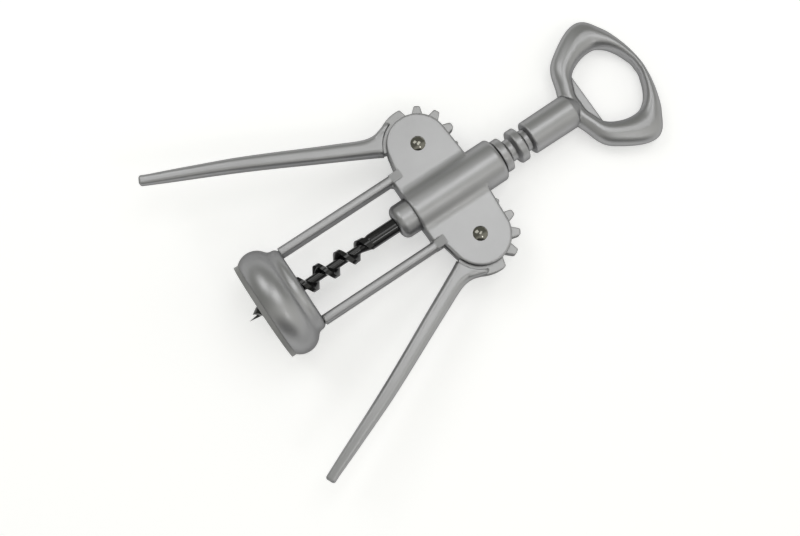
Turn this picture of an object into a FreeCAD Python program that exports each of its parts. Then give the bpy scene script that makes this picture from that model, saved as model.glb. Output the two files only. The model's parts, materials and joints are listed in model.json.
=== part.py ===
"""Wing corkscrew: a ringed rack in a barrel, two toothed levers, a worm and an opener handle.

The frame, bell, rack, handle and worm are drawn in one upright frame: X across the levers, Y along
the spindle towards the handle, Z out of the front face, with the two lever pivots on Y = 0. Levers
and rivets are drawn about their own pivots. Placements then lay the whole corkscrew on its back,
on the bell's bulge and the handle's ring, with the origin at the middle of the bell's rim, Z up.
"""

import FreeCAD, Part
import math
import os
import types

import Sketcher

Vec = FreeCAD.Vector

# Driving dimensions, in millimetres and degrees: alias, value, what it measures.
SIZES = [
    # frame casting
    ("pivot_offset", 22.4, "lever pivot from the spindle axis"),
    ("ear_radius", 12.9, "rounded end of the ear plates, about the pivot"),
    ("ear_crown", 14.4, "top edge of the ears at the barrel, above the pivots"),
    ("ear_shoulder", 14.1, "lower edge of the ears at the leg, below the pivots"),
    ("ear_edge", 0.8, "softened outline of the ear plates"),
    ("frame_depth", 10.4, "front ear plate to back ear plate, outside"),
    ("cut_reach", 1.0, "how far a cut reaches past the surface that it opens"),
    ("frame_foot", 17.5, "underside of the barrel, below the pivots"),
    ("barrel_radius", 9.5, "outside of the barrel"),
    ("barrel_top", 24.4, "top of the barrel, above the pivots"),
    ("barrel_round", 1.6, "rounded top edge of the barrel"),
    ("barrel_blend", 6.0, "hollow blend between barrel and ear plate"),
    ("leg_offset", 16.23, "middle of a leg from the spindle axis"),
    ("leg_width", 3.9, "leg, across"),
    ("leg_depth", 8.4, "leg, front to back"),
    ("leg_round", 1.6, "rounded edges of a leg"),
    ("window_corner", 1.2, "filled corner between a leg and the underside of the ears"),
    ("ramp_top", 12.6, "where the ear's face starts to slope down to the leg, below the pivots"),
    ("peg_radius", 1.6, "peg on a foot that enters the bell"),
    ("peg_length", 3.0, "length of that peg"),
    # bell and its liner
    ("bell_top", 71.2, "top face of the bell, below the pivots"),
    ("bell_crown", 5.3, "thickness of the bell's top"),
    ("bell_neck", 18.8, "neck of the bell, radius"),
    ("neck_round", 2.6, "rounded top edge of the neck"),
    ("neck_hollow", 3.0, "hollow between neck and bulge"),
    ("bell_radius", 23.4, "widest radius of the bulge"),
    ("bulge_round", 7.9, "radius of the bulge's own curve"),
    ("bulge_drop", 82.6, "middle of the bulge, below the pivots"),
    ("bell_rim", 87.8, "lower edge of the bell, below the pivots"),
    ("cork_radius", 13.0, "hole that the cork comes up through"),
    ("liner_radius", 17.6, "outside of the liner's sleeve"),
    ("flange_radius", 21.3, "flange of the liner under the rim"),
    ("flange_depth", 2.0, "thickness of that flange"),
    ("neck_bore", 15.3, "bore that takes the lip of a bottle"),
    ("ledge_depth", 2.2, "ledge that the lip stops against"),
    ("mouth_bevel", 0.8, "bevel at the mouth of the bore"),
    # rack
    ("rack_radius", 7.45, "outside of the rack's rings"),
    ("rack_floor", 4.85, "bottom of the grooves, radius"),
    ("rack_clearance", 0.08, "rack in the barrel, radial"),
    ("groove_floor", 2.3, "width of a groove at its bottom"),
    ("groove_mouth", 4.6, "width of a groove at the rings"),
    ("ring_round", 0.6, "rounded shoulders of the rings"),
    ("collar_foot", 25.7, "lower end of the collar, below the pivots"),
    ("collar_round", 3.0, "rounded lower edge of the collar"),
    ("recess_radius", 4.1, "recess round the shank"),
    ("recess_depth", 3.0, "depth of that recess"),
    ("thrust_gap", 0.05, "end play between rack and handle"),
    # levers
    ("teeth_per_turn", 12, "teeth that a full wheel would have"),
    ("tooth_count", 7, "teeth that run in the rack"),
    ("pitch_radius", 14.8, "pitch radius of the toothed sector"),
    ("gear_root", 12.6, "root radius of the teeth"),
    ("gear_tip", 16.6, "tip radius of the teeth"),
    ("tooth_foot", 5.0, "width of a tooth at its root"),
    ("tooth_crown", 3.0, "width of a tooth at its tip"),
    ("tooth_round", 0.95, "rounded corners of a tooth"),
    ("tooth_sink", 0.4, "how far a tooth is sunk into the root"),
    ("gear_depth", 5.0, "thickness of the toothed sector"),
    ("gear_side_gap", 0.25, "gap between the sector and an ear plate"),
    ("gear_tip_gap", 0.7, "gap beyond the teeth in the frame's slot"),
    ("first_tooth_angle", 6.4, "outermost tooth, up from square to the arm"),
    ("lever_rest_angle", 25.3, "lever from straight down, at rest"),
    ("lever_play_angle", 0.9, "lean of each lever within the play of the mesh"),
    ("arm_clear", 14.4, "hollow end of the thick arm, about the pivot"),
    ("heel_angle", 97.5, "end of the plain heel, down from square to the arm"),
    ("horn_start_angle", 72.0, "where the horn leaves the arm, down from square to the arm"),
    ("horn_reach", 18.6, "outside of the horn there, from the pivot"),
    ("horn_tip_angle", 45.0, "point of the horn, down from square to the arm"),
    ("horn_point", 16.3, "outside of the horn at its point, from the pivot"),
    ("horn_depth", 8.2, "thickness of the horn"),
    ("horn_edge", 2.0, "rounded point of the horn"),
    ("horn_round", 1.6, "rounded front and back edges of the horn"),
    ("arm_outer_share", 0.4, "outer corners of the arm, as a share of its depth"),
    ("arm_inner_share", 0.3, "inner corners of the arm, as a share of its depth"),
    ("arm_tip_round", 1.1, "rounded tip of the arm"),
    # rivets
    ("head_radius", 3.1, "head of a rivet"),
    ("head_dome", 1.2, "height of the domed head"),
    ("sleeve_radius", 2.2, "sleeve that the lever turns on"),
    ("rivet_core", 1.5, "pin pressed into the sleeve, radius"),
    ("hinge_clearance", 0.05, "lever on the sleeve, radial"),
    # handle
    ("stem_radius", 7.28, "handle's stem at its lower end"),
    ("stem_top_radius", 7.45, "handle's stem where it meets the ring"),
    ("stem_round", 0.6, "rounded lower edge of the stem"),
    ("stem_rise", 0.5, "rise of the stem's lower face from the groove to its edge"),
    ("stem_end", 61.0, "where the stem starts to slope into the ring, above the pivots"),
    ("stem_slope", 64.2, "foot of that slope, above the pivots"),
    ("stem_slope_radius", 5.0, "stem at the foot of the slope"),
    ("stem_tip", 65.6, "end of the stem, inside the ring, above the pivots"),
    ("ring_centre", 82.0, "middle of the handle's ring, above the pivots"),
    ("lip_edge", 69.9, "straight edge of the cap lifter, above the pivots"),
    ("lip_half_width", 12.4, "half the length of that edge"),
    ("lip_depth", 2.8, "thickness of the cap lifter's lip"),
    ("lip_root", 62.5, "foot of the lip, inside the ring, above the pivots"),
    ("ring_depth", 9.4, "ring at its sides, front to back"),
    ("ring_top_depth", 7.5, "ring at its top, front to back"),
    ("ridge_share", 0.42, "ridge of the ring, from its inner edge, as a share of its width"),
    # worm
    ("shank_radius", 3.3, "worm's shank"),
    ("shank_clearance", 0.06, "shank in the rack, radial"),
    ("shank_hold", 16.0, "shank inside the stem"),
    ("shank_foot", 38.0, "end of the plain shank, below the pivots"),
    ("core_radius", 1.85, "core of the screw"),
    ("core_top", 43.5, "start of the plain core, below the pivots"),
    ("core_foot", 84.0, "start of the point, below the pivots"),
    ("worm_tip", 96.3, "point of the worm, below the pivots"),
    ("flight_radius", 4.7, "outside of the flight"),
    ("flight_pitch", 10.0, "one turn of the flight"),
    ("flight_foot", 4.4, "width of the flight at the core"),
    ("flight_crest", 1.8, "width of the flight at its edge"),
    ("flight_overlap", 0.2, "how far the flight is sunk into the core"),
    ("flight_crown", -37.3, "middle of the flight's uppermost turn on the right, above the pivots"),
    ("flight_turns", 5.5, "turns that the flight is cut from"),
    ("flight_full_top", 51.0, "full flight from here down, below the pivots"),
    ("flight_full_foot", 87.0, "full flight down to here, below the pivots"),
    ("flight_mid_foot", 91.3, "half way along the flight's taper, below the pivots"),
    ("flight_point", 3.3, "radius of the flight there"),
    # stations round the right half of the ring, at the angles in RING_ANGLES
    ("ring_inner_1", 12.85, "ring at 90 degrees, inner radius"),
    ("ring_outer_1", 16.4, "ring at 90 degrees, outer radius"),
    ("ring_inner_2", 13.1, "ring at 74 degrees, inner radius"),
    ("ring_outer_2", 16.65, "ring at 74 degrees, outer radius"),
    ("ring_inner_3", 13.25, "ring at 60 degrees, inner radius"),
    ("ring_outer_3", 17.7, "ring at 60 degrees, outer radius"),
    ("ring_inner_4", 13.85, "ring at 48 degrees, inner radius"),
    ("ring_outer_4", 19.25, "ring at 48 degrees, outer radius"),
    ("ring_inner_5", 14.65, "ring at 36 degrees, inner radius"),
    ("ring_outer_5", 21.7, "ring at 36 degrees, outer radius"),
    ("ring_inner_6", 15.35, "ring at 26 degrees, inner radius"),
    ("ring_outer_6", 24.35, "ring at 26 degrees, outer radius"),
    ("ring_inner_7", 15.9, "ring at 18 degrees, inner radius"),
    ("ring_outer_7", 27.05, "ring at 18 degrees, outer radius"),
    ("ring_inner_8", 16.25, "ring at 11 degrees, inner radius"),
    ("ring_outer_8", 29.3, "ring at 11 degrees, outer radius"),
    ("ring_inner_9", 16.25, "ring at 4 degrees, inner radius"),
    ("ring_outer_9", 29.85, "ring at 4 degrees, outer radius"),
    ("ring_inner_10", 16.2, "ring at -4 degrees, inner radius"),
    ("ring_outer_10", 29.15, "ring at -4 degrees, outer radius"),
    ("ring_inner_11", 16.15, "ring at -14 degrees, inner radius"),
    ("ring_outer_11", 27.8, "ring at -14 degrees, outer radius"),
    ("ring_inner_12", 16.2, "ring at -26 degrees, inner radius"),
    ("ring_outer_12", 26.65, "ring at -26 degrees, outer radius"),
    ("ring_inner_13", 16.35, "ring at -36 degrees, inner radius"),
    ("ring_outer_13", 26.2, "ring at -36 degrees, outer radius"),
    ("ring_inner_14", 16.4, "ring at -44 degrees, inner radius"),
    ("ring_outer_14", 25.4, "ring at -44 degrees, outer radius"),
    ("ring_inner_15", 16.1, "ring at -54 degrees, inner radius"),
    ("ring_outer_15", 23.85, "ring at -54 degrees, outer radius"),
    ("ring_inner_16", 15.7, "ring at -68 degrees, inner radius"),
    ("ring_outer_16", 22.8, "ring at -68 degrees, outer radius"),
    ("ring_inner_17", 15.2, "ring at -90 degrees, inner radius"),
    ("ring_outer_17", 22.3, "ring at -90 degrees, outer radius"),
    # stations along a lever's arm
    ("arm_reach_1", 11.0, "arm station 1, distance from the pivot"),
    ("arm_inner_1", -3.0, "arm station 1, inner side"),
    ("arm_outer_1", 9.4, "arm station 1, outer side"),
    ("arm_depth_1", 8.6, "arm station 1, front to back"),
    ("arm_reach_2", 15.5, "arm station 2, distance from the pivot"),
    ("arm_inner_2", -2.35, "arm station 2, inner side"),
    ("arm_outer_2", 7.9, "arm station 2, outer side"),
    ("arm_depth_2", 8.4, "arm station 2, front to back"),
    ("arm_reach_3", 19.0, "arm station 3, distance from the pivot"),
    ("arm_inner_3", -2.2, "arm station 3, inner side"),
    ("arm_outer_3", 6.0, "arm station 3, outer side"),
    ("arm_depth_3", 8.1, "arm station 3, front to back"),
    ("arm_reach_4", 23.0, "arm station 4, distance from the pivot"),
    ("arm_inner_4", -2.1, "arm station 4, inner side"),
    ("arm_outer_4", 5.27, "arm station 4, outer side"),
    ("arm_depth_4", 7.8, "arm station 4, front to back"),
    ("arm_reach_5", 30.0, "arm station 5, distance from the pivot"),
    ("arm_inner_5", -1.95, "arm station 5, inner side"),
    ("arm_outer_5", 5.14, "arm station 5, outer side"),
    ("arm_depth_5", 7.4, "arm station 5, front to back"),
    ("arm_reach_6", 41.0, "arm station 6, distance from the pivot"),
    ("arm_inner_6", -1.74, "arm station 6, inner side"),
    ("arm_outer_6", 5.06, "arm station 6, outer side"),
    ("arm_depth_6", 7.1, "arm station 6, front to back"),
    ("arm_reach_7", 54.0, "arm station 7, distance from the pivot"),
    ("arm_inner_7", -1.4, "arm station 7, inner side"),
    ("arm_outer_7", 5.06, "arm station 7, outer side"),
    ("arm_depth_7", 6.9, "arm station 7, front to back"),
    ("arm_reach_8", 66.0, "arm station 8, distance from the pivot"),
    ("arm_inner_8", -1.17, "arm station 8, inner side"),
    ("arm_outer_8", 5.0, "arm station 8, outer side"),
    ("arm_depth_8", 6.75, "arm station 8, front to back"),
    ("arm_reach_9", 77.0, "arm station 9, distance from the pivot"),
    ("arm_inner_9", -1.13, "arm station 9, inner side"),
    ("arm_outer_9", 4.75, "arm station 9, outer side"),
    ("arm_depth_9", 6.5, "arm station 9, front to back"),
    ("arm_reach_10", 88.0, "arm station 10, distance from the pivot"),
    ("arm_inner_10", -1.25, "arm station 10, inner side"),
    ("arm_outer_10", 4.15, "arm station 10, outer side"),
    ("arm_depth_10", 6.1, "arm station 10, front to back"),
    ("arm_reach_11", 98.0, "arm station 11, distance from the pivot"),
    ("arm_inner_11", -1.46, "arm station 11, inner side"),
    ("arm_outer_11", 3.58, "arm station 11, outer side"),
    ("arm_depth_11", 5.4, "arm station 11, front to back"),
    ("arm_reach_12", 107.0, "arm station 12, distance from the pivot"),
    ("arm_inner_12", -1.6, "arm station 12, inner side"),
    ("arm_outer_12", 3.0, "arm station 12, outer side"),
    ("arm_depth_12", 4.6, "arm station 12, front to back"),
    ("arm_reach_13", 114.6, "arm station 13, distance from the pivot"),
    ("arm_inner_13", -1.65, "arm station 13, inner side"),
    ("arm_outer_13", 2.72, "arm station 13, outer side"),
    ("arm_depth_13", 3.9, "arm station 13, front to back"),
]

# Where the ring's stations stand about its middle, in degrees up from +X.
RING_ANGLES = (
    90, 74, 60, 48, 36, 26, 18, 11, 4,
    -4, -14, -26, -36, -44, -54, -68, -90,
)
REST_ANGLE = 36  # station at which the ring touches the table
ARM_STATIONS = range(1, 14)
ARC_STEPS = 4  # points along each quarter of an oval section
HALF_TURN = 180

doc = FreeCAD.newDocument("WingCorkscrew")
sheet = doc.addObject("Spreadsheet::Sheet", "Sizes")


class Dim:
    """A driving dimension, or a sum or product of some: its number and its expression."""

    def __init__(self, number, formula):
        self.number = float(number)
        self.formula = formula

    @staticmethod
    def of(thing):
        return thing if isinstance(thing, Dim) else Dim(thing, repr(float(thing)))

    def joined(self, sign, other, number):
        return Dim(number, f"({self.formula} {sign} {other.formula})")

    def __add__(self, other):
        other = Dim.of(other)
        return self.joined("+", other, self.number + other.number)

    def __sub__(self, other):
        other = Dim.of(other)
        return self.joined("-", other, self.number - other.number)

    def __mul__(self, other):
        other = Dim.of(other)
        return self.joined("*", other, self.number * other.number)

    def __truediv__(self, other):
        other = Dim.of(other)
        return self.joined("/", other, self.number / other.number)

    def __radd__(self, other):
        return Dim.of(other) + self

    def __rsub__(self, other):
        return Dim.of(other) - self

    def __rmul__(self, other):
        return Dim.of(other) * self

    def __rtruediv__(self, other):
        return Dim.of(other) / self

    def __neg__(self):
        return Dim(-self.number, f"(-1 * {self.formula})")


def root(dim):
    return Dim(math.sqrt(dim.number), f"sqrt({dim.formula})")


def across(radius, angle):
    """How far along X a point at this radius and angle is."""
    cosine = math.cos(math.radians(angle.number))
    return Dim(radius.number * cosine, f"({radius.formula} * cos({angle.formula}))")


def along(radius, angle):
    """How far along Y a point at this radius and angle is."""
    sine = math.sin(math.radians(angle.number))
    return Dim(radius.number * sine, f"({radius.formula} * sin({angle.formula}))")


def spot(reach, angle, aside=0):
    """The point at a reach along a ray, and so far to the ray's left."""
    left = Dim.of(aside)
    return (
        across(reach, angle) - along(left, angle),
        along(reach, angle) + across(left, angle),
    )


def fill_sheet():
    """Write the driving dimensions into the sheet, and give each one back by its name."""
    for row, (alias, value, meaning) in enumerate(SIZES, start=1):
        sheet.set(f"A{row}", meaning)
        sheet.set(f"B{row}", str(value))
        sheet.setAlias(f"B{row}", alias)
    doc.recompute()
    return types.SimpleNamespace(
        **{alias: Dim(sheet.get(alias), f"Sizes.{alias}") for alias, _, _ in SIZES}
    )


size = fill_sheet()


# Sketches


def new_body(label):
    body = doc.addObject("PartDesign::Body", label)
    body.Label = label
    return body


def tangent_run(start, end):
    """The straight run from one circle to the next, with both centres on its left."""
    (x0, y0, r0), (x1, y1, r1) = start, end
    reach = math.hypot(x1 - x0, y1 - y0)
    heading = math.atan2(y1 - y0, x1 - x0) + math.asin((r0 - r1) / reach)
    right = Vec(math.sin(heading), -math.cos(heading), 0)
    return Vec(x0, y0, 0) + right * r0, Vec(x1, y1, 0) + right * r1


def bend_arc(start, end, radius):
    """The short counter-clockwise arc of this radius from one point to another."""
    middle = (start + end) * 0.5
    half = (end - start) * 0.5
    left = Vec(-half.y, half.x, 0).normalize()
    centre = middle + left * math.sqrt(radius**2 - half.Length**2)
    angles = [math.atan2(p.y - centre.y, p.x - centre.x) for p in (start, end)]
    circle = Part.Circle(centre, Vec(0, 0, 1), radius)
    return Part.ArcOfCircle(circle, angles[0], angles[1])


def outline(body, name, plane, path):
    """A closed outline on one of the body's origin planes, drawn counter-clockwise.

    The path holds corners (x, y), circles (x, y, radius) that the outline runs round, and single
    values, each the radius of an arc from the corner before it to the corner after it.
    """
    sketch = body.newObject("Sketcher::SketchObject", name)
    origin_plane = next(f for f in body.Origin.OriginFeatures if f.Role == plane)
    sketch.AttachmentSupport = (origin_plane, [""])
    sketch.MapMode = "FlatFace"

    def tie(kind, *where, to):
        index = sketch.addConstraint(Sketcher.Constraint(kind, *where, to.number))
        sketch.setExpression(f"Constraints[{index}]", to.formula)

    stops, bends = [], {}
    for item in path:
        if isinstance(item, tuple):
            stops.append([Dim.of(value) for value in item])
        else:
            bends[len(stops) - 1] = Dim.of(item)
    circles = [[value.number for value in stop] + [0.0] * (3 - len(stop)) for stop in stops]
    runs = [tangent_run(a, b) for a, b in zip(circles, circles[1:] + circles[:1])]

    edges = []
    for i, stop in enumerate(stops):
        leave, arrive = runs[i]
        if len(stop) == 3:
            centre = Vec(circles[i][0], circles[i][1], 0)
            spokes = [runs[i - 1][1] - centre, leave - centre]
            angles = [math.atan2(spoke.y, spoke.x) for spoke in spokes]
            circle = Part.Circle(centre, Vec(0, 0, 1), circles[i][2])
            edge = sketch.addGeometry(Part.ArcOfCircle(circle, *angles), False)
            tie("DistanceX", -1, 1, edge, 3, to=stop[0])
            tie("DistanceY", -1, 1, edge, 3, to=stop[1])
            tie("Radius", edge, to=stop[2])
            edges.append((edge, True))
        if i in bends:
            edge = sketch.addGeometry(bend_arc(leave, arrive, bends[i].number), False)
            tie("Radius", edge, to=bends[i])
        else:
            edge = sketch.addGeometry(Part.LineSegment(leave, arrive), False)
        if len(stop) == 2:
            tie("DistanceX", -1, 1, edge, 1, to=stop[0])
            tie("DistanceY", -1, 1, edge, 1, to=stop[1])
        edges.append((edge, False))
    for (before, rolls_in), (after, rolls_out) in zip(edges, edges[1:] + edges[:1]):
        kind = "Tangent" if rolls_in or rolls_out else "Coincident"
        sketch.addConstraint(Sketcher.Constraint(kind, before, 2, after, 1))
    return sketch


def circle_outline(body, name, plane, circles):
    """Full circles (x, y, radius) on one of the body's origin planes."""
    sketch = outline(body, name, plane, [])
    for x, y, radius in circles:
        centre = Vec(Dim.of(x).number, Dim.of(y).number, 0)
        edge = sketch.addGeometry(Part.Circle(centre, Vec(0, 0, 1), radius.number), False)
        for kind, where, value in (
            ("DistanceX", (-1, 1, edge, 3), Dim.of(x)),
            ("DistanceY", (-1, 1, edge, 3), Dim.of(y)),
            ("Radius", (edge,), radius),
        ):
            index = sketch.addConstraint(Sketcher.Constraint(kind, *where, value.number))
            sketch.setExpression(f"Constraints[{index}]", value.formula)
    return sketch


# Features


def bind(feature, **formulas):
    for prop, dim in formulas.items():
        feature.setExpression(prop, Dim.of(dim).formula)
    doc.recompute()
    return feature


def extrude(body, kind, sketch, length, symmetric=False, backwards=False):
    """A Pad or a Pocket."""
    feature = body.newObject(f"PartDesign::{kind}", f"{kind}_of_{sketch.Label}")
    feature.Profile = sketch
    feature.Midplane = symmetric
    feature.Reversed = backwards
    return bind(feature, Length=length)


def spin(body, kind, sketch):
    """A Revolution or a Groove about the sketch's upright axis."""
    feature = body.newObject(f"PartDesign::{kind}", f"{kind}_of_{sketch.Label}")
    feature.Profile = sketch
    feature.ReferenceAxis = (sketch, ["V_Axis"])
    feature.Angle = 360
    doc.recompute()
    return feature


def soften(body, radius, chosen, kind="Fillet"):
    """A Fillet on the edges of the body that the test chooses."""
    base = body.Tip
    names = [f"Edge{i}" for i, edge in enumerate(base.Shape.Edges, start=1) if chosen(edge)]
    feature = body.newObject(f"PartDesign::{kind}", f"{kind}_on_{base.Label}")
    feature.Base = (base, names)
    return bind(feature, Radius=radius)


def hoop(radius, *heights):
    """Chooses circles about the spindle, of one radius and at given heights."""

    def chosen(edge):
        curve = None if edge.Degenerated else edge.Curve
        return (
            isinstance(curve, Part.Circle)
            and abs(abs(curve.Axis.y) - 1) < 1e-6
            and abs(curve.Radius - radius.number) < 1e-4
            and any(abs(curve.Center.y - height.number) < 1e-3 for height in heights)
        )

    return chosen


# Places that several pieces share

bell_ceiling = size.bell_top + size.bell_crown
rim = size.bell_rim + size.flange_depth
rack_pitch = size.pitch_radius * (2 * math.pi) / size.teeth_per_turn
top_groove = size.pitch_radius * math.pi * (1 - (size.first_tooth_angle + size.lever_rest_angle) / HALF_TURN)
stem_foot = top_groove + size.groove_floor / 2
groove_slope = (size.groove_mouth - size.groove_floor) / 2 / (size.rack_radius - size.rack_floor)
tooth_step = 2 * HALF_TURN / size.teeth_per_turn


# Frame


def make_frame_body():
    body = new_body("frame_body")
    leg_side = size.leg_offset + size.leg_width / 2
    ears = outline(
        body,
        "Ears",
        "XY_Plane",
        [
            (-leg_side, -size.frame_foot),
            (leg_side, -size.frame_foot),
            (leg_side, -size.ear_shoulder),
            (size.pivot_offset, 0, size.ear_radius),
            (0, size.ear_crown),
            (-size.pivot_offset, 0, size.ear_radius),
            (-leg_side, -size.ear_shoulder),
        ],
    )
    extrude(body, "Pad", ears, size.frame_depth, symmetric=True)
    barrel = outline(
        body,
        "Barrel",
        "XY_Plane",
        [
            (0, -size.frame_foot),
            (size.barrel_radius, -size.frame_foot),
            (size.barrel_radius, size.barrel_top),
            (0, size.barrel_top),
        ],
    )
    spin(body, "Revolution", barrel)
    front = size.frame_depth / 2
    seam = root(size.barrel_radius * size.barrel_radius - front * front)

    def beside_barrel(edge):
        middle = edge.CenterOfMass
        return (
            abs(abs(middle.x) - seam.number) < 1e-3
            and abs(abs(middle.z) - front.number) < 1e-3
            and isinstance(edge.Curve, Part.Line)
        )

    soften(body, size.barrel_blend, beside_barrel)
    soften(body, size.barrel_round, hoop(size.barrel_radius, size.barrel_top))

    def round_the_ears(edge):
        off_front = abs(abs(edge.CenterOfMass.z) - front.number)
        outmost = max(abs(vertex.X) for vertex in edge.Vertexes)
        return off_front < 1e-3 and outmost > size.leg_offset.number

    soften(body, size.ear_edge, round_the_ears)

    across_leg = size.leg_width / 2 - size.leg_round
    deep_leg = size.leg_depth / 2 - size.leg_round
    leg_inside = size.leg_offset - size.leg_width / 2
    for name, side in (("RightLeg", 1), ("LeftLeg", -1)):
        middle = side * size.leg_offset
        leg = outline(
            body,
            name,
            "XZ_Plane",
            [
                (middle - across_leg, -deep_leg, size.leg_round),
                (middle + across_leg, -deep_leg, size.leg_round),
                (middle + across_leg, deep_leg, size.leg_round),
                (middle - across_leg, deep_leg, size.leg_round),
            ],
        )
        extrude(body, "Pad", leg, size.bell_top)
        peg = circle_outline(body, f"{name}Peg", "XZ_Plane", [(middle, 0, size.peg_radius)])
        extrude(body, "Pad", peg, size.bell_top + size.peg_length)
        corner = outline(
            body,
            f"{name}Corner",
            "XY_Plane",
            [
                (side * leg_inside, -size.frame_foot - size.window_corner),
                (side * leg_inside, -size.frame_foot),
                (side * (leg_inside - size.window_corner), -size.frame_foot),
            ],
        )
        extrude(body, "Pad", corner, 2 * deep_leg, symmetric=True)
        for face in (1, -1):
            ramp = outline(
                body,
                f"{name}Ramp{face}",
                "YZ_Plane",
                [
                    (-size.frame_foot, face * size.leg_depth / 2),
                    (-size.ramp_top, face * front),
                    (-size.ramp_top, face * (front + size.cut_reach)),
                    (-size.frame_foot, face * (front + size.cut_reach)),
                ],
            )
            ramp.setExpression("AttachmentOffset.Base.z", middle.formula)
            extrude(body, "Pocket", ramp, size.leg_width, symmetric=True)

    slot_radius = size.gear_tip + size.gear_tip_gap
    slots = circle_outline(
        body,
        "Slots",
        "XY_Plane",
        [(size.pivot_offset, 0, slot_radius)],
    )
    slot_depth = size.gear_depth + 2 * size.gear_side_gap
    extrude(body, "Pocket", slots, slot_depth, symmetric=True)
    slots = circle_outline(
        body,
        "LeftSlot",
        "XY_Plane",
        [(-size.pivot_offset, 0, slot_radius)],
    )
    extrude(body, "Pocket", slots, slot_depth, symmetric=True)
    bore = size.rack_radius + size.rack_clearance
    barrel_bore = circle_outline(body, "BarrelBore", "XZ_Plane", [(0, 0, bore)])
    extrude(body, "Pocket", barrel_bore, 3 * size.barrel_top, symmetric=True)
    rivet_holes = circle_outline(
        body,
        "RivetHoles",
        "XY_Plane",
        [(size.pivot_offset, 0, size.sleeve_radius), (-size.pivot_offset, 0, size.sleeve_radius)],
    )
    extrude(body, "Pocket", rivet_holes, 2 * size.frame_depth, symmetric=True)
    return body


# Bell


def make_bell():
    body = new_body("bell")
    bulge_centre = size.bell_radius - size.bulge_round
    rim_drop = size.bell_rim - size.bulge_drop
    rim_radius = bulge_centre + root(size.bulge_round * size.bulge_round - rim_drop * rim_drop)
    neck_step = size.bell_neck - bulge_centre
    neck_drop = size.bulge_drop - root(size.bulge_round * size.bulge_round - neck_step * neck_step)
    wall = outline(
        body,
        "Wall",
        "XY_Plane",
        [
            (size.liner_radius, -size.bell_rim),
            (rim_radius, -size.bell_rim),
            size.bulge_round,
            (size.bell_neck, -neck_drop),
            (size.bell_neck, -size.bell_top),
            (size.cork_radius, -size.bell_top),
            (size.cork_radius, -bell_ceiling),
            (size.liner_radius, -bell_ceiling),
        ],
    )
    spin(body, "Revolution", wall)
    soften(body, size.neck_hollow, hoop(size.bell_neck, -neck_drop))
    soften(body, size.neck_round, hoop(size.bell_neck, -size.bell_top))
    pegs = circle_outline(
        body,
        "PegHoles",
        "XZ_Plane",
        [(size.leg_offset, 0, size.peg_radius), (-size.leg_offset, 0, size.peg_radius)],
    )
    extrude(body, "Pocket", pegs, size.bell_top + size.peg_length, backwards=True)
    return body


def make_bottle_liner():
    body = new_body("bottle_liner")
    ledge = bell_ceiling + size.ledge_depth
    sleeve = outline(
        body,
        "Sleeve",
        "XY_Plane",
        [
            (size.neck_bore + size.mouth_bevel, -rim),
            (size.flange_radius, -rim),
            (size.flange_radius, -size.bell_rim),
            (size.liner_radius, -size.bell_rim),
            (size.liner_radius, -bell_ceiling),
            (size.cork_radius, -bell_ceiling),
            (size.cork_radius, -ledge),
            (size.neck_bore, -ledge),
            (size.neck_bore, -rim + size.mouth_bevel),
        ],
    )
    spin(body, "Revolution", sleeve)
    return body


# Rack


def make_rack():
    body = new_body("rack")
    ring_top = top_groove - size.groove_floor / 2
    shoulder = ring_top - groove_slope * (size.rack_radius - size.rack_floor)
    bar = outline(
        body,
        "Bar",
        "XY_Plane",
        [
            (0, -size.collar_foot),
            (size.rack_radius, -size.collar_foot),
            (size.rack_radius, shoulder),
            (size.rack_floor, ring_top),
            (size.rack_floor, stem_foot - size.thrust_gap),
            (0, stem_foot - size.thrust_gap),
        ],
    )
    spin(body, "Revolution", bar)
    middle = top_groove - rack_pitch
    floor_half = size.groove_floor / 2
    beyond = size.rack_radius + size.cut_reach
    mouth_half = floor_half + groove_slope * (beyond - size.rack_floor)
    notch = outline(
        body,
        "Notch",
        "XY_Plane",
        [
            (size.rack_floor, middle - floor_half),
            (beyond, middle - mouth_half),
            (beyond, middle + mouth_half),
            (size.rack_floor, middle + floor_half),
        ],
    )
    first = spin(body, "Groove", notch)
    rings = body.newObject("PartDesign::LinearPattern", "Rings")
    rings.Originals = [first]
    rings.Direction = (notch, ["V_Axis"])
    rings.Reversed = True
    rings.Mode = "Spacing"
    rings.setExpression("Offset", rack_pitch.formula)
    bind(rings, Occurrences=size.tooth_count - 1)
    body.Tip = rings
    doc.recompute()

    def shoulders(edge):
        return hoop(size.rack_radius, Dim.of(edge.CenterOfMass.y))(edge) and (
            edge.CenterOfMass.y > -size.collar_foot.number + size.collar_round.number
        )

    soften(body, size.ring_round, shoulders)
    soften(body, size.collar_round, hoop(size.rack_radius, -size.collar_foot))
    recess = outline(
        body,
        "Recess",
        "XY_Plane",
        [
            (0, -size.collar_foot - size.cut_reach),
            (size.recess_radius, -size.collar_foot - size.cut_reach),
            (size.recess_radius, -size.collar_foot + size.recess_depth),
            (0, -size.collar_foot + size.recess_depth),
        ],
    )
    spin(body, "Groove", recess)
    bore = circle_outline(
        body, "ShankBore", "XZ_Plane", [(0, 0, size.shank_radius + size.shank_clearance)]
    )
    extrude(body, "Pocket", bore, 3 * stem_foot, symmetric=True)
    return body


# Rivets


def head_curve():
    """Radius of the curve of a domed head."""
    return (size.head_radius * size.head_radius / size.head_dome + size.head_dome) / 2


def make_rivet_pin(side):
    body = new_body(f"{side}_rivet_pin")
    front = size.frame_depth / 2
    profile = outline(
        body,
        f"{side}_pin_profile",
        "XZ_Plane",
        [
            (0, -front),
            (size.rivet_core, -front),
            (size.rivet_core, front),
            (size.head_radius, front),
            head_curve(),
            (0, front + size.head_dome),
        ],
    )
    spin(body, "Revolution", profile)
    return body


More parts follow.
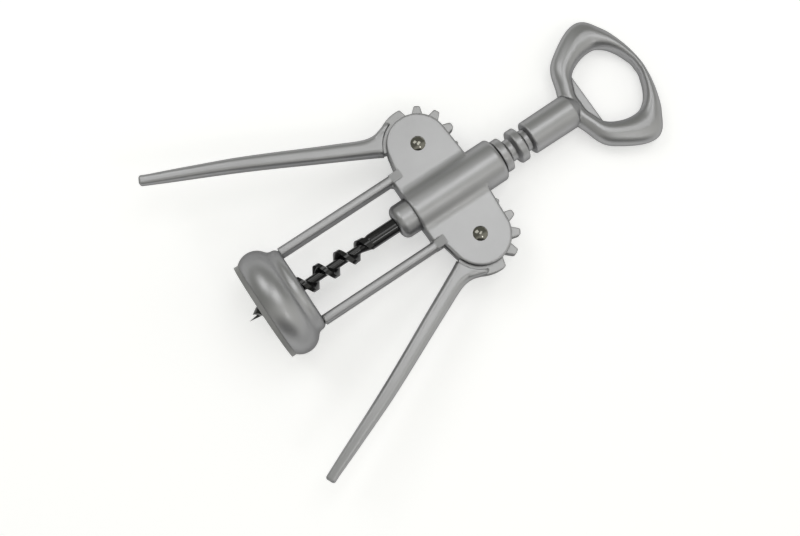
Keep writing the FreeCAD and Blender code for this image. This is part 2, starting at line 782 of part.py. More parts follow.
def make_rivet_socket(side):
    body = new_body(f"{side}_rivet_socket")
    front = size.frame_depth / 2
    profile = outline(
        body,
        f"{side}_socket_profile",
        "XZ_Plane",
        [
            (0, -front - size.head_dome),
            head_curve(),
            (size.head_radius, -front),
            (size.sleeve_radius, -front),
            (size.sleeve_radius, front),
            (size.rivet_core, front),
            (size.rivet_core, -front),
            (0, -front),
        ],
    )
    spin(body, "Revolution", profile)
    return body


# Lofted forms


def oval(ridge, inward, outward, deep):
    """Four quarters of ellipses round the ridge, with vectors as their half axes."""

    def point(quarters):
        turn = quarters * math.pi / 2
        wide = outward if quarters <= 1 or quarters >= 3 else -inward
        return ridge + wide * math.cos(turn) + deep * math.sin(turn)

    def heading(quarters, wide):
        turn = quarters * math.pi / 2
        return deep * math.cos(turn) - wide * math.sin(turn)

    arcs = []
    for quarter, wide in enumerate((outward, -inward, -inward, outward)):
        points = [point(quarter + i / ARC_STEPS) for i in range(ARC_STEPS + 1)]
        curve = Part.BSplineCurve()
        curve.interpolate(
            Points=points,
            InitialTangent=heading(quarter, wide),
            FinalTangent=heading(quarter + 1, wide),
        )
        arcs.append(curve.toShape())
    return Part.Wire(arcs)


def ring_depth(angle):
    """How thick the ring is, front to back: thinner towards its top."""
    share = max(0.0, math.sin(math.radians(angle))) ** 3
    return size.ring_depth + (size.ring_top_depth - size.ring_depth) * share


def ring_section(number, angle):
    ray = Vec(math.cos(math.radians(angle)), math.sin(math.radians(angle)), 0)
    inner = getattr(size, f"ring_inner_{number}").number
    outer = getattr(size, f"ring_outer_{number}").number
    ridge = inner + (outer - inner) * size.ridge_share.number
    middle = Vec(0, size.ring_centre.number, 0) + ray * ridge
    deep = Vec(0, 0, ring_depth(angle).number / 2)
    return oval(middle, ray * (inner - ridge), ray * (outer - ridge), deep)


def make_ring():
    """The handle's ring: its right half, lofted a little past the middle, and its mirror image."""
    right = list(enumerate(RING_ANGLES, start=1))
    past_top = [(number, 180 - angle) for number, angle in (right[2], right[1])]
    past_foot = [(number, -180 - angle) for number, angle in (right[-2], right[-3])]
    sections = [ring_section(*station) for station in past_top + right + past_foot]
    reach = 2 * max(getattr(size, f"ring_outer_{number}").number for number, _ in right)
    corner = Vec(0, size.ring_centre.number - reach, -reach)
    right_side = Part.makeBox(reach, 2 * reach, 2 * reach, corner)
    half = Part.makeLoft(sections, True).common(right_side)
    ring = doc.addObject("Part::Feature", "Ring")
    ring.Shape = half.fuse(half.mirror(Vec(), Vec(1, 0, 0)))
    return ring


def make_handle():
    stem = new_body("Stem")
    stem_edge = stem_foot + size.stem_rise
    profile = outline(
        stem,
        "StemProfile",
        "XY_Plane",
        [
            (size.shank_radius, stem_foot),
            (size.rack_floor, stem_foot),
            (size.stem_radius, stem_edge),
            (size.stem_top_radius, size.stem_end),
            (size.stem_slope_radius, size.stem_slope),
            (size.shank_radius, size.stem_tip),
            (0, size.stem_tip),
            (0, stem_foot + size.shank_hold),
            (size.shank_radius, stem_foot + size.shank_hold),
        ],
    )
    spin(stem, "Revolution", profile)
    soften(stem, size.stem_round, hoop(size.stem_radius, stem_edge))
    lip = new_body("Lip")
    web = outline(
        lip,
        "LipProfile",
        "XY_Plane",
        [
            (-size.lip_half_width, size.lip_root),
            (size.lip_half_width, size.lip_root),
            (size.lip_half_width, size.lip_edge),
            (-size.lip_half_width, size.lip_edge),
        ],
    )
    extrude(lip, "Pad", web, size.lip_depth, symmetric=True)
    handle = doc.addObject("Part::MultiFuse", "handle")
    handle.Label = "handle"
    handle.Shapes = [stem, make_ring(), lip]
    doc.recompute()
    return handle


# Worm


def make_worm():
    body = new_body("worm")
    shank_top = stem_foot + size.shank_hold
    bar = outline(
        body,
        "Screw",
        "XY_Plane",
        [
            (0, -size.worm_tip),
            (size.core_radius, -size.core_foot),
            (size.core_radius, -size.core_top),
            (size.shank_radius, -size.shank_foot),
            (size.shank_radius, shank_top),
            (0, shank_top),
        ],
    )
    spin(body, "Revolution", bar)
    start = size.flight_crown - size.flight_turns * size.flight_pitch
    inside = size.core_radius - size.flight_overlap
    foot, crest = size.flight_foot / 2, size.flight_crest / 2
    blade = outline(
        body,
        "Blade",
        "XY_Plane",
        [
            (-inside, start + foot),
            (-size.flight_radius, start + crest),
            (-size.flight_radius, start - crest),
            (-inside, start - foot),
        ],
    )
    flight = body.newObject("PartDesign::AdditiveHelix", "Flight")
    flight.Profile = blade
    flight.ReferenceAxis = (blade, ["V_Axis"])
    flight.Mode = "pitch-height-angle"
    flight.Angle = 0
    bind(flight, Pitch=size.flight_pitch, Height=size.flight_turns * size.flight_pitch)
    wide = size.flight_radius + size.cut_reach
    below = -size.worm_tip - size.flight_pitch
    point = outline(
        body,
        "Point",
        "XY_Plane",
        [
            (0, below),
            (wide, below),
            (wide, -size.flight_full_foot),
            (size.flight_radius, -size.flight_full_foot),
            (size.flight_point, -size.flight_mid_foot),
            (0, -size.worm_tip),
        ],
    )
    spin(body, "Groove", point)
    fade = outline(
        body,
        "Fade",
        "XY_Plane",
        [
            (size.shank_radius, -size.shank_foot),
            (size.flight_radius, -size.flight_full_top),
            (wide, -size.flight_full_top),
            (wide, -size.shank_foot + size.flight_pitch),
            (size.shank_radius, -size.shank_foot + size.flight_pitch),
        ],
    )
    spin(body, "Groove", fade)
    return body


# Levers


def arm_sketch(body, number):
    """A section across the arm, with rounder corners on its outer side than on its inner."""
    inner = getattr(size, f"arm_inner_{number}")
    outer = getattr(size, f"arm_outer_{number}")
    depth = getattr(size, f"arm_depth_{number}")
    deep = depth / 2
    near = depth * size.arm_inner_share
    far = depth * size.arm_outer_share
    sketch = outline(
        body,
        f"{body.Label}_arm_{number}",
        "XZ_Plane",
        [
            (inner + near, near - deep, near),
            (outer - far, far - deep, far),
            (outer - far, deep - far, far),
            (inner + near, deep - near, near),
        ],
    )
    reach = getattr(size, f"arm_reach_{number}")
    sketch.setExpression("AttachmentOffset.Base.z", reach.formula)
    return sketch


def make_lever(side):
    """A lever, drawn with its arm straight down and its outer side towards +X."""
    body = new_body(f"{side}_lever")
    horn = outline(
        body,
        f"{side}_horn",
        "XY_Plane",
        [
            spot(size.gear_root, -size.heel_angle),
            spot(size.gear_tip, -size.heel_angle),
            spot(size.horn_reach, -size.horn_start_angle),
            (*spot(size.horn_point - size.horn_edge, -size.horn_tip_angle, -size.horn_edge), size.horn_edge),
            spot(size.gear_root, -size.horn_tip_angle),
        ],
    )
    extrude(body, "Pad", horn, size.horn_depth, symmetric=True)

    def horn_edges(edge):
        middle = edge.CenterOfMass
        return (
            abs(abs(middle.z) - size.horn_depth.number / 2) < 1e-3
            and middle.Length > size.gear_root.number
        )

    soften(body, size.horn_round, horn_edges)
    sketches = [arm_sketch(body, number) for number in ARM_STATIONS]
    arm = body.newObject("PartDesign::AdditiveLoft", f"{side}_arm")
    arm.Profile = sketches[0]
    arm.Sections = sketches[1:]
    doc.recompute()
    arm_end = getattr(size, f"arm_reach_{len(sketches)}").number
    soften(body, size.arm_tip_round, lambda edge: abs(edge.CenterOfMass.y + arm_end) < 1e-3)
    hollow = circle_outline(body, f"{side}_hollow", "XY_Plane", [(0, 0, size.arm_clear)])
    extrude(body, "Pocket", hollow, size.frame_depth, symmetric=True)
    heel = outline(
        body,
        f"{side}_heel",
        "XY_Plane",
        [
            (0, 0),
            spot(size.gear_tip, -size.heel_angle),
            size.gear_tip,
            spot(size.gear_tip, size.first_tooth_angle - tooth_step),
        ],
    )
    extrude(body, "Pad", heel, size.gear_depth, symmetric=True)
    disc = circle_outline(body, f"{side}_disc", "XY_Plane", [(0, 0, size.gear_root)])
    extrude(body, "Pad", disc, size.gear_depth, symmetric=True)
    angle = size.first_tooth_angle - tooth_step
    low, high = size.gear_root - size.tooth_sink, size.gear_tip - size.tooth_round
    foot, crown = size.tooth_foot / 2, size.tooth_crown / 2 - size.tooth_round
    tooth = outline(
        body,
        f"{side}_tooth",
        "XY_Plane",
        [
            spot(low, angle, -foot),
            (*spot(high, angle, -crown), size.tooth_round),
            (*spot(high, angle, crown), size.tooth_round),
            spot(low, angle, foot),
        ],
    )
    first = extrude(body, "Pad", tooth, size.gear_depth, symmetric=True)
    teeth = body.newObject("PartDesign::PolarPattern", f"{side}_teeth")
    teeth.Originals = [first]
    teeth.Axis = (tooth, ["N_Axis"])
    teeth.Mode = "Spacing"
    teeth.setExpression("Offset", tooth_step.formula)
    bind(teeth, Occurrences=size.tooth_count + 1)
    body.Tip = teeth
    bore = circle_outline(
        body, f"{side}_bore", "XY_Plane", [(0, 0, size.sleeve_radius + size.hinge_clearance)]
    )
    extrude(body, "Pocket", bore, size.frame_depth, symmetric=True)
    return body


# Placements


def move(shift, axis, angle):
    """The expression of a turn about an axis through the origin, followed by a shift."""
    places = "; ".join(Dim.of(value).formula for value in shift)
    axis_places = "; ".join(str(value) for value in axis)
    return (
        f"create(<<placement>>; create(<<vector>>; {places}); "
        f"create(<<rotation>>; create(<<vector>>; {axis_places}); {Dim.of(angle).formula}))"
    )


def resting_tilt():
    """How far the spindle leans when the bell's bulge and the ring's shoulders touch the table."""
    number = RING_ANGLES.index(REST_ANGLE) + 1
    inner, outer = getattr(size, f"ring_inner_{number}"), getattr(size, f"ring_outer_{number}")
    ridge = inner + (outer - inner) * size.ridge_share
    reach = size.bulge_drop + size.ring_centre + along(ridge, Dim.of(REST_ANGLE))
    drop = size.bell_radius - size.bulge_round - ring_depth(REST_ANGLE) / 2
    length = root(reach * reach + drop * drop)
    lean = math.atan2(drop.number, reach.number) + math.asin(
        size.bulge_round.number / length.number
    )
    formula = f"(atan({(drop / reach).formula}) + asin({(size.bulge_round / length).formula}))"
    return Dim(math.degrees(lean), formula)


tilt = resting_tilt()
laid_down = move((0, across(rim, tilt), -along(rim, tilt)), (-1, 0, 0), tilt)
upright = move((0, 0, 0), (0, 0, 1), 0)
at_right_pivot = move((size.pivot_offset, 0, 0), (0, 0, 1), 0)
at_left_pivot = move((-size.pivot_offset, 0, 0), (0, 0, 1), 0)
right_lean = move((0, 0, 0), (0, 0, 1), size.lever_rest_angle - size.lever_play_angle)
left_lean = move((0, 0, 0), (0, 0, -1), size.lever_rest_angle + size.lever_play_angle)
turned_over = move((0, 0, 0), (0, 1, 0), 180)

parts = [
    (make_frame_body(), [upright]),
    (make_bell(), [upright]),
    (make_bottle_liner(), [upright]),
    (make_rack(), [upright]),
    (make_handle(), [upright]),
    (make_worm(), [upright]),
    (make_lever("right"), [at_right_pivot, right_lean]),
    (make_lever("left"), [at_left_pivot, left_lean, turned_over]),
    (make_rivet_pin("right"), [at_right_pivot]),
    (make_rivet_pin("left"), [at_left_pivot]),
    (make_rivet_socket("right"), [at_right_pivot]),
    (make_rivet_socket("left"), [at_left_pivot]),
]

for part, moves in parts:
    part.setExpression("Placement", " * ".join([laid_down, *moves]))
doc.recompute()

for thing in doc.Objects:
    if "Invalid" in thing.State or "Error" in thing.State:
        raise RuntimeError(f"{thing.Label} could not be built")

os.makedirs("parts", exist_ok=True)
for part, _ in parts:
    if part.Shape.isNull() or not part.Shape.isValid():
        raise RuntimeError(f"{part.Label} is not a sound solid")
    part.Shape.exportStep(f"parts/{part.Label}.step")
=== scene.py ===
"""Finishes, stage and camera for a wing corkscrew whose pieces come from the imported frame.

Run as a script, it loads the frame, registers its operators and runs them in order.
"""

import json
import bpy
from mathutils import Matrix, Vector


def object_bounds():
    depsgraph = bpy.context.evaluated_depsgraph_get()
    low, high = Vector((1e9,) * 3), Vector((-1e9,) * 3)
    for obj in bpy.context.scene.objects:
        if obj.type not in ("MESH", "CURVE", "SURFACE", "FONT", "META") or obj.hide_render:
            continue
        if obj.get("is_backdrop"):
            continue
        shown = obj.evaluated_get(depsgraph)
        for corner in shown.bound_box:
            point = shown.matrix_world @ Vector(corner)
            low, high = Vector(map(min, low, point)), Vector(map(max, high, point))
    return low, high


bl_info = {
    "name": "Wing Corkscrew Finishes",
    "version": (1, 0, 0),
    "blender": (4, 5, 0),
    "location": "3D View > Sidebar > Corkscrew",
    "description": "Gives each piece of a wing corkscrew its finish and sets up a studio",
    "category": "Object",
}

import bpy
from bpy.props import FloatProperty, FloatVectorProperty, PointerProperty
from mathutils import Matrix, Vector

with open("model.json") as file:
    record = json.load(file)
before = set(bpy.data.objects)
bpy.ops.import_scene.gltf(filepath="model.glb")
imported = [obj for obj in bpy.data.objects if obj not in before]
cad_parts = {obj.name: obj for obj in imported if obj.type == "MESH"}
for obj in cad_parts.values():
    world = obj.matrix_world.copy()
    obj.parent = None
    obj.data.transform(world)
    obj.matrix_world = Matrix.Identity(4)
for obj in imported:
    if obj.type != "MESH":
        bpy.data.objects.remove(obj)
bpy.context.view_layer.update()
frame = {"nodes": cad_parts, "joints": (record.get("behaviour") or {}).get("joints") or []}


# The corkscrew, in metres

SIDES = ("left", "right")
CASTINGS = ("frame_body", "bell", "rack", "handle")
JOINTS = {joint["name"]: joint for joint in frame["joints"]}
PIVOTS = {side: Vector(JOINTS[f"{side}_lever_hinge"]["pos_m"]) for side in SIDES}
FACE = Vector(JOINTS["right_lever_hinge"]["axis"])  # square to the flat faces of the levers
MIDDLE = Vector((0.0, 0.09, 0.0))  # about halfway along
WEB_REACH = 0.0169  # just beyond the tips of a lever's teeth, from its pivot
WEB_HALF_DEPTH = 0.0026  # just beyond the toothed web's faces


# Patterns in the surfaces: scales are in repeats to the metre, depths in metres

CLOUD_SCALE = 90.0
CLOUD_DETAIL = 4.0
CLOUD_CONTRAST = 0.06
GRAIN_DETAIL = 3.0
GRAIN_STRENGTH = 0.12
GRAIN_DEPTH = 0.00004
GRAIN_ROUGHNESS = 0.05
EDGE_SAMPLES = 6
MOTTLE_SCALE = 400.0
MOTTLE_DETAIL = 4.0
MOTTLE_CONTRAST = 0.1
DENT_SCALE = 700.0
DENT_DETAIL = 1.0
DENT_DEPTH = 0.001


# The studio, in metres; a lamp's size is its width and its length

FLOOR_WIDTH = 40.0
FLOOR_GAP = 0.0001  # between the floor and the lowest point of the corkscrew
FLOOR_ROUGHNESS = 0.9
SEEING_RAYS = ("Is Camera Ray", "Is Glossy Ray", "Is Transmission Ray")
WALL_CHANGE = (0.0, 0.34)  # how far right a direction points, from the left wall to the right
SKIRTING_TOP = (0.03, 0.1)  # how far up a direction points, from the skirting to the walls
DARK_CORNER = Vector((0.867, -0.461, 0.191))  # the way to the dimmest part of the room
DARK_CORNER_EDGE = (0.72, 0.86)  # how near a direction is to that way, from lit to dim
KEY_PLACE = (-0.09, 0.36, 0.8)
KEY_SIZE = (0.32, 0.56)
WINDOW_PLACE = (-0.61, -0.03, 0.79)
WINDOW_SIZE = (0.5, 0.5)
SMALL_PLACE = (0.62, 0.25, 0.77)
SMALL_SIZE = (0.12, 0.12)


# Sockets of a Mix node that mixes colours

MIX_SHARE = 0
MIX_FIRST = 6
MIX_SECOND = 7
MIX_RESULT = 2

WHITE = (1.0, 1.0, 1.0, 1.0)


# Settings


class CorkscrewFinish(bpy.types.PropertyGroup):
    """Colours and surfaces of the corkscrew's own pieces."""

    plating: FloatVectorProperty(
        name="Plating",
        description="Colour of the satin plating on the castings",
        subtype="COLOR",
        default=(0.38, 0.38, 0.388),
        min=0,
        max=1,
    )
    plating_edge: FloatVectorProperty(
        name="Plating edge",
        description="Tint of the plating where it turns away",
        subtype="COLOR",
        default=(0.3, 0.3, 0.3),
        min=0,
        max=1,
    )
    plating_roughness: FloatProperty(
        name="Plating roughness",
        description="Roughness of the satin plating",
        subtype="FACTOR",
        default=0.4,
        min=0,
        max=1,
    )
    # Painted shade: a darker copy of the plating colour for the flat toothed part of each lever
    shaded_web: FloatVectorProperty(
        name="Toothed web",
        description="Colour of the flat toothed part of a lever",
        subtype="COLOR",
        default=(0.345, 0.345, 0.348),
        min=0,
        max=1,
    )
    edge_round: FloatProperty(
        name="Edge rounding",
        description="Radius of the worn edges of the castings, as they catch the light",
        subtype="DISTANCE",
        default=0.0008,
        min=0,
        precision=5,
    )
    grain: FloatProperty(
        name="Grain",
        description="Size of the fine grain in the plating",
        subtype="DISTANCE",
        default=0.00025,
        min=0.00001,
        precision=5,
    )
    screw: FloatVectorProperty(
        name="Worm",
        description="Colour of the worm's gloss coating",
        subtype="COLOR",
        default=(0.004, 0.004, 0.0045),
        min=0,
        max=1,
    )
    screw_roughness: FloatProperty(
        name="Worm roughness",
        description="Roughness of the worm's gloss coating",
        subtype="FACTOR",
        default=0.12,
        min=0,
        max=1,
    )
    liner: FloatVectorProperty(
        name="Liner",
        description="Colour of the bell's plastic liner",
        subtype="COLOR",
        default=(0.23, 0.23, 0.23),
        min=0,
        max=1,
    )
    liner_roughness: FloatProperty(
        name="Liner roughness",
        description="Roughness of the bell's plastic liner",
        subtype="FACTOR",
        default=0.5,
        min=0,
        max=1,
    )
    rivet: FloatVectorProperty(
        name="Rivets",
        description="Colour of the polished rivets",
        subtype="COLOR",
        default=(0.2, 0.195, 0.17),
        min=0,
        max=1,
    )
    rivet_roughness: FloatProperty(
        name="Rivet roughness",
        description="Roughness of the polished rivets",
        subtype="FACTOR",
        default=0.1,
        min=0,
        max=1,
    )
    rivet_dents: FloatProperty(
        name="Rivet dents",
        description="How hammered the rivets' domes look",
        subtype="FACTOR",
        default=0.08,
        min=0,
        max=1,
    )


class CorkscrewStudio(bpy.types.PropertyGroup):
    """Camera, light and floor."""

    camera_place: FloatVectorProperty(
        name="Camera place",
        description="Where the camera stands",
        subtype="TRANSLATION",
        unit="LENGTH",
        default=(0.0614, 0.0589, 0.3957),
        precision=4,
    )
    camera_aim: FloatVectorProperty(
        name="Camera aim",
        description="Point that the camera looks at",
        subtype="TRANSLATION",
        unit="LENGTH",
        default=(0.016, 0.0553, -0.0017),
        precision=4,
    )
    camera_up: FloatVectorProperty(
        name="Camera up",
        description="Direction that is upwards in the picture",
        subtype="DIRECTION",
        default=(-0.8217, 0.5629, 0.0888),
        precision=4,
    )
    lens: FloatProperty(
        name="Lens",
        description="Focal length on a 36 mm wide sensor, in millimetres",
        unit="CAMERA",
        default=44.99,
        min=10,
    )
    floor: FloatVectorProperty(
        name="Floor",
        description="Colour of the floor",
        subtype="COLOR",
        default=(0.8, 0.8, 0.8),
        min=0,
        max=1,
    )
    floor_glow: FloatProperty(
        name="Floor glow",
        description="Light added to the floor where it is seen, so that it reads as white",
        default=0.42,
        min=0,
    )
    left_wall: FloatVectorProperty(
        name="Left wall",
        description="Light that comes low from the left",
        subtype="COLOR",
        default=(0.37, 0.375, 0.345),
        min=0,
        max=1,
    )
    right_wall: FloatVectorProperty(
        name="Right wall",
        description="Light that comes low from the right",
        subtype="COLOR",
        default=(0.87, 0.868, 0.82),
        min=0,
        max=1,
    )
    dark_corner: FloatVectorProperty(
        name="Dark corner",
        description="Light that comes from the dimmest part of the room",
        subtype="COLOR",
        default=(0.15, 0.15, 0.145),
        min=0,
        max=1,
    )
    skirting: FloatVectorProperty(
        name="Skirting",
        description="Light that comes from the foot of the walls, where the floor ends",
        subtype="COLOR",
        default=(0.88, 0.88, 0.875),
        min=0,
        max=1,
    )
    key_power: FloatProperty(
        name="Key lamp",
        description="Power of the lamp overhead, towards the handle",
        unit="POWER",
        default=1.15,
        min=0,
    )
    window_power: FloatProperty(
        name="Window lamp",
        description="Power of the broad lamp high on the left",
        unit="POWER",
        default=1.5,
        min=0,
    )
    small_power: FloatProperty(
        name="Small lamp",
        description="Power of the small lamp high on the right",
        unit="POWER",
        default=0.3,
        min=0,
    )


# Shader nodes


def new_material(name):
    """Makes a node material, and gives it with its tree and its Principled surface."""
    material = bpy.data.materials.new(name)
    material.use_nodes = True
    tree = material.node_tree
    return material, tree, tree.nodes["Principled BSDF"]


def add_node(tree, kind, inputs, output=0, **settings):
    """Adds a shader node and gives one of its outputs; an input is a value or another output."""
    made = tree.nodes.new(kind)
    for name, value in settings.items():
        setattr(made, name, value)
    for name, value in inputs.items():
        if isinstance(value, bpy.types.NodeSocket):
            tree.links.new(value, made.inputs[name])
        else:
            made.inputs[name].default_value = value
    return made.outputs[output]


def blend(tree, share, first, second):
    """Mixes two colours: the first at a share of 0 and the second at 1."""
    inputs = {MIX_SHARE: share, MIX_FIRST: first, MIX_SECOND: second}
    return add_node(tree, "ShaderNodeMix", inputs, MIX_RESULT, data_type="RGBA")


def spread(tree, value, low, high, smooth=False):
    """Maps the range from low to high onto 0 to 1, and holds it there outside."""
    kind = "SMOOTHSTEP" if smooth else "LINEAR"
    inputs = {"Value": value, "From Min": low, "From Max": high}
    return add_node(tree, "ShaderNodeMapRange", inputs, interpolation_type=kind)


def maths(tree, operation, *values):
    """One step of arithmetic on one or two numbers."""
    return add_node(tree, "ShaderNodeMath", dict(enumerate(values)), operation=operation)


def vector_maths(tree, operation, *vectors, output="Value"):
    """One step of arithmetic on one or two vectors."""
    inputs = dict(enumerate(vectors))
    return add_node(tree, "ShaderNodeVectorMath", inputs, output, operation=operation)


def on_surface(tree):
    """The point of the piece that is shaded."""
    return add_node(tree, "ShaderNodeTexCoord", {}, "Object")


def noise(tree, scale, detail):
    """Noise that is fixed to the piece."""
    inputs = {"Vector": on_surface(tree), "Scale": scale, "Detail": detail}
    return add_node(tree, "ShaderNodeTexNoise", inputs, "Fac")


def rgba(colour):
    """A colour with full opacity."""
    return (*colour, 1.0)


def uneven(tree, colour, contrast, pattern):
    """A colour that a pattern takes a little darker and a little lighter."""
    colour = Vector(colour)
    return blend(tree, pattern, rgba(colour * (1 - contrast)), rgba(colour * (1 + contrast)))


def dress(piece, material):
    """Puts one material on a piece."""
    piece.data.materials.clear()
    piece.data.materials.append(material)


# Finishes


def toothed_web(tree, side):
    """1 on the flat toothed part of a lever and 0 on its arm; it marks where the darker plating
    colour, painted shade, goes.
    """
    from_pivot = vector_maths(tree, "SUBTRACT", on_surface(tree), PIVOTS[side], output="Vector")
    reach = vector_maths(tree, "LENGTH", from_pivot)
    height = vector_maths(tree, "DOT_PRODUCT", from_pivot, FACE)
    near = maths(tree, "LESS_THAN", reach, WEB_REACH)
    low = maths(tree, "LESS_THAN", maths(tree, "ABSOLUTE", height), WEB_HALF_DEPTH)
    return maths(tree, "MULTIPLY", near, low)


def plating_material(finish, side=None):
    """Satin plating with a fine cast grain; a lever's toothed part gets a darker copy of the
    plating colour as painted shade.
    """
    material, tree, surface = new_material(f"{side}_lever_plating" if side else "satin_plating")
    grain = noise(tree, 1 / finish.grain, GRAIN_DETAIL)
    tone = uneven(tree, finish.plating, CLOUD_CONTRAST, noise(tree, CLOUD_SCALE, CLOUD_DETAIL))
    if side:
        # The toothed part takes the darker plating colour: painted shade
        tone = blend(tree, toothed_web(tree, side), tone, rgba(finish.shaded_web))
    roughness_range = {
        "Value": grain,
        "To Min": finish.plating_roughness - GRAIN_ROUGHNESS,
        "To Max": finish.plating_roughness + GRAIN_ROUGHNESS,
    }
    roughness = add_node(tree, "ShaderNodeMapRange", roughness_range)
    worn_edge = add_node(
        tree, "ShaderNodeBevel", {"Radius": finish.edge_round}, samples=EDGE_SAMPLES
    )
    cast_grain = {
        "Height": grain,
        "Strength": GRAIN_STRENGTH,
        "Distance": GRAIN_DEPTH,
        "Normal": worn_edge,
    }
    tree.links.new(tone, surface.inputs["Base Color"])
    tree.links.new(roughness, surface.inputs["Roughness"])
    tree.links.new(add_node(tree, "ShaderNodeBump", cast_grain), surface.inputs["Normal"])
    surface.inputs["Metallic"].default_value = 1.0
    surface.inputs["Specular Tint"].default_value = rgba(finish.plating_edge)
    return material


def trim_material(name, colour, roughness, metallic=0.0, dents=0.0):
    """A colour with a faint mottle in it; dents make a surface look hammered."""
    material, tree, surface = new_material(name)
    mottle = noise(tree, MOTTLE_SCALE, MOTTLE_DETAIL)
    tone = uneven(tree, colour, MOTTLE_CONTRAST, mottle)
    tree.links.new(tone, surface.inputs["Base Color"])
    surface.inputs["Metallic"].default_value = metallic
    surface.inputs["Roughness"].default_value = roughness
    if dents:
        hammered = {
            "Height": noise(tree, DENT_SCALE, DENT_DETAIL),
            "Strength": dents,
            "Distance": DENT_DEPTH,
        }
        tree.links.new(add_node(tree, "ShaderNodeBump", hammered), surface.inputs["Normal"])
    return material


# Operators


class CORKSCREW_OT_castings(bpy.types.Operator):
    """Plate the frame, the bell, the rack, the handle and the levers"""

    bl_idname = "corkscrew.castings"
    bl_label = "Plate castings"

    def execute(self, context):
        finish = context.scene.corkscrew_finish
        plating = plating_material(finish)
        for name in CASTINGS:
            dress(frame["nodes"][name], plating)
        for side in SIDES:
            dress(frame["nodes"][f"{side}_lever"], plating_material(finish, side))
        return {"FINISHED"}


class CORKSCREW_OT_trim(bpy.types.Operator):
    """Finish the worm, the liner and the rivets"""

    bl_idname = "corkscrew.trim"
    bl_label = "Finish trim"

    def execute(self, context):
        finish = context.scene.corkscrew_finish
        coating = trim_material("black_coating", finish.screw, finish.screw_roughness)
        dress(frame["nodes"]["worm"], coating)
        plastic = trim_material("liner_plastic", finish.liner, finish.liner_roughness)
        dress(frame["nodes"]["bottle_liner"], plastic)
        polished = trim_material(
            "polished_rivet",
            finish.rivet,
            finish.rivet_roughness,
            metallic=1.0,
            dents=finish.rivet_dents,
        )
        for side in SIDES:
            for half in ("pin", "socket"):
                dress(frame["nodes"][f"{side}_rivet_{half}"], polished)
        return {"FINISHED"}


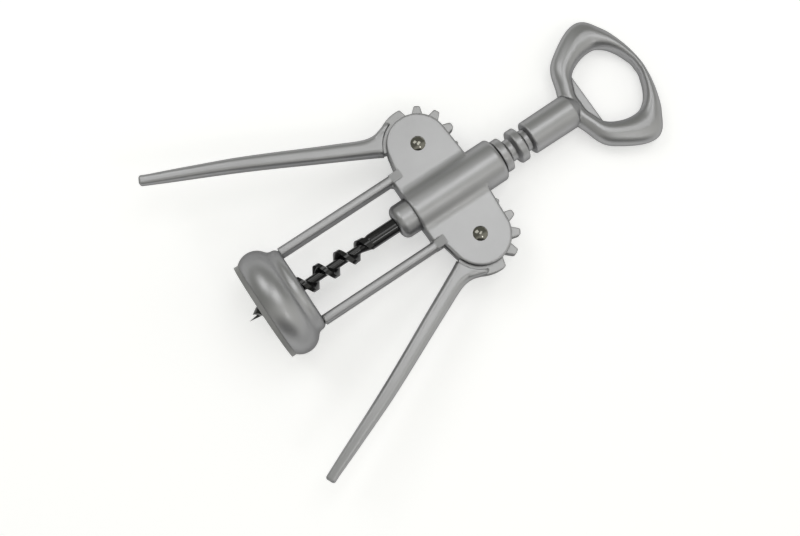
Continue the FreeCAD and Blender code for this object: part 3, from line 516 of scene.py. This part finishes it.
class CORKSCREW_OT_studio(bpy.types.Operator):
    """Set up the floor, the room, the lamps and the camera"""

    bl_idname = "corkscrew.studio"
    bl_label = "Set up studio"

    def execute(self, context):
        studio = context.scene.corkscrew_studio
        self.lay_floor(studio)
        self.paint_room(context.scene, studio)
        self.add_lamp("key_lamp", studio.key_power, KEY_PLACE, KEY_SIZE)
        self.add_lamp("window_lamp", studio.window_power, WINDOW_PLACE, WINDOW_SIZE)
        self.add_lamp("small_lamp", studio.small_power, SMALL_PLACE, SMALL_SIZE)
        self.place_camera(context.scene, studio)
        context.scene.view_settings.view_transform = "Standard"
        return {"FINISHED"}

    def lay_floor(self, studio):
        """A floor just under the corkscrew that reaches far beyond it."""
        bpy.ops.object.select_all(action="DESELECT")
        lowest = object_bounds()[0][2]
        centre = (MIDDLE.x, MIDDLE.y, lowest - FLOOR_GAP)
        bpy.ops.mesh.primitive_plane_add(size=FLOOR_WIDTH, location=centre)
        floor = bpy.context.object
        floor.name = "studio_floor"
        dress(floor, self.floor_paint(studio))
        floor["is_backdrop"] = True

    def floor_paint(self, studio):
        """A plain paint that glows where the camera, or something shiny, sees it."""
        material, tree, surface = new_material("floor_paint")
        seen = 0.0
        for ray in SEEING_RAYS:
            seen = maths(tree, "ADD", add_node(tree, "ShaderNodeLightPath", {}, ray), seen)
        glow = maths(tree, "MULTIPLY", maths(tree, "MINIMUM", seen, 1.0), studio.floor_glow)
        tree.links.new(glow, surface.inputs["Emission Strength"])
        surface.inputs["Emission Color"].default_value = WHITE
        surface.inputs["Base Color"].default_value = rgba(studio.floor)
        surface.inputs["Roughness"].default_value = FLOOR_ROUGHNESS
        return material

    def paint_room(self, scene, studio):
        """Walls, dimmer on the left, with one dark corner and a pale skirting."""
        world = bpy.data.worlds.new("studio_room")
        world.use_nodes = True
        tree = world.node_tree
        heading = add_node(tree, "ShaderNodeTexCoord", {}, "Generated")
        rightwards = add_node(tree, "ShaderNodeSeparateXYZ", {0: heading}, "X")
        upwards = add_node(tree, "ShaderNodeSeparateXYZ", {0: heading}, "Z")
        cornerwards = vector_maths(tree, "DOT_PRODUCT", heading, DARK_CORNER)
        on_right = spread(tree, rightwards, *WALL_CHANGE)
        in_corner = spread(tree, cornerwards, *DARK_CORNER_EDGE, smooth=True)
        above_skirting = spread(tree, upwards, *SKIRTING_TOP)
        walls = blend(tree, on_right, rgba(studio.left_wall), rgba(studio.right_wall))
        walls = blend(tree, in_corner, walls, rgba(studio.dark_corner))
        room = blend(tree, above_skirting, rgba(studio.skirting), walls)
        tree.links.new(room, tree.nodes["Background"].inputs["Color"])
        scene.world = world

    def add_lamp(self, name, power, place, size):
        """Hangs a soft lamp that shines at the middle of the corkscrew."""
        bpy.ops.object.light_add(type="AREA", location=place)
        lamp = bpy.context.object
        lamp.name = name
        lamp.data.energy = power
        lamp.data.shape = "RECTANGLE"
        lamp.data.size, lamp.data.size_y = size
        lamp.rotation_euler = (MIDDLE - Vector(place)).to_track_quat("-Z", "Y").to_euler()

    def place_camera(self, scene, studio):
        """Stands the camera at its place and turns it to its aim."""
        place = Vector(studio.camera_place)
        back = (place - Vector(studio.camera_aim)).normalized()
        right = Vector(studio.camera_up).cross(back).normalized()
        turn = Matrix((right, back.cross(right), back)).transposed().to_4x4()
        bpy.ops.object.camera_add()
        camera = bpy.context.object
        camera.name = "studio_camera"
        camera.matrix_world = Matrix.Translation(place) @ turn
        camera.data.lens = studio.lens
        scene.camera = camera


# Panel and registration


class CORKSCREW_PT_panel(bpy.types.Panel):
    """Settings and buttons in the 3D view's sidebar"""

    bl_idname = "CORKSCREW_PT_panel"
    bl_label = "Wing corkscrew"
    bl_space_type = "VIEW_3D"
    bl_region_type = "UI"
    bl_category = "Corkscrew"

    def draw(self, context):
        for group in (context.scene.corkscrew_finish, context.scene.corkscrew_studio):
            box = self.layout.box()
            for name in group.__annotations__:
                box.prop(group, name)
        for operator in OPERATORS:
            self.layout.operator(operator.bl_idname)


OPERATORS = (CORKSCREW_OT_castings, CORKSCREW_OT_trim, CORKSCREW_OT_studio)
CLASSES = (CorkscrewFinish, CorkscrewStudio, *OPERATORS, CORKSCREW_PT_panel)


def register():
    """Adds the settings, the operators and the panel to Blender."""
    for cls in CLASSES:
        bpy.utils.register_class(cls)
    bpy.types.Scene.corkscrew_finish = PointerProperty(type=CorkscrewFinish)
    bpy.types.Scene.corkscrew_studio = PointerProperty(type=CorkscrewStudio)


def unregister():
    """Takes them out again."""
    del bpy.types.Scene.corkscrew_studio
    del bpy.types.Scene.corkscrew_finish
    for cls in reversed(CLASSES):
        bpy.utils.unregister_class(cls)


def main():
    """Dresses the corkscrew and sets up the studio."""
    register()
    bpy.ops.corkscrew.castings()
    bpy.ops.corkscrew.trim()
    bpy.ops.corkscrew.studio()


if __name__ == "__main__":
    main()
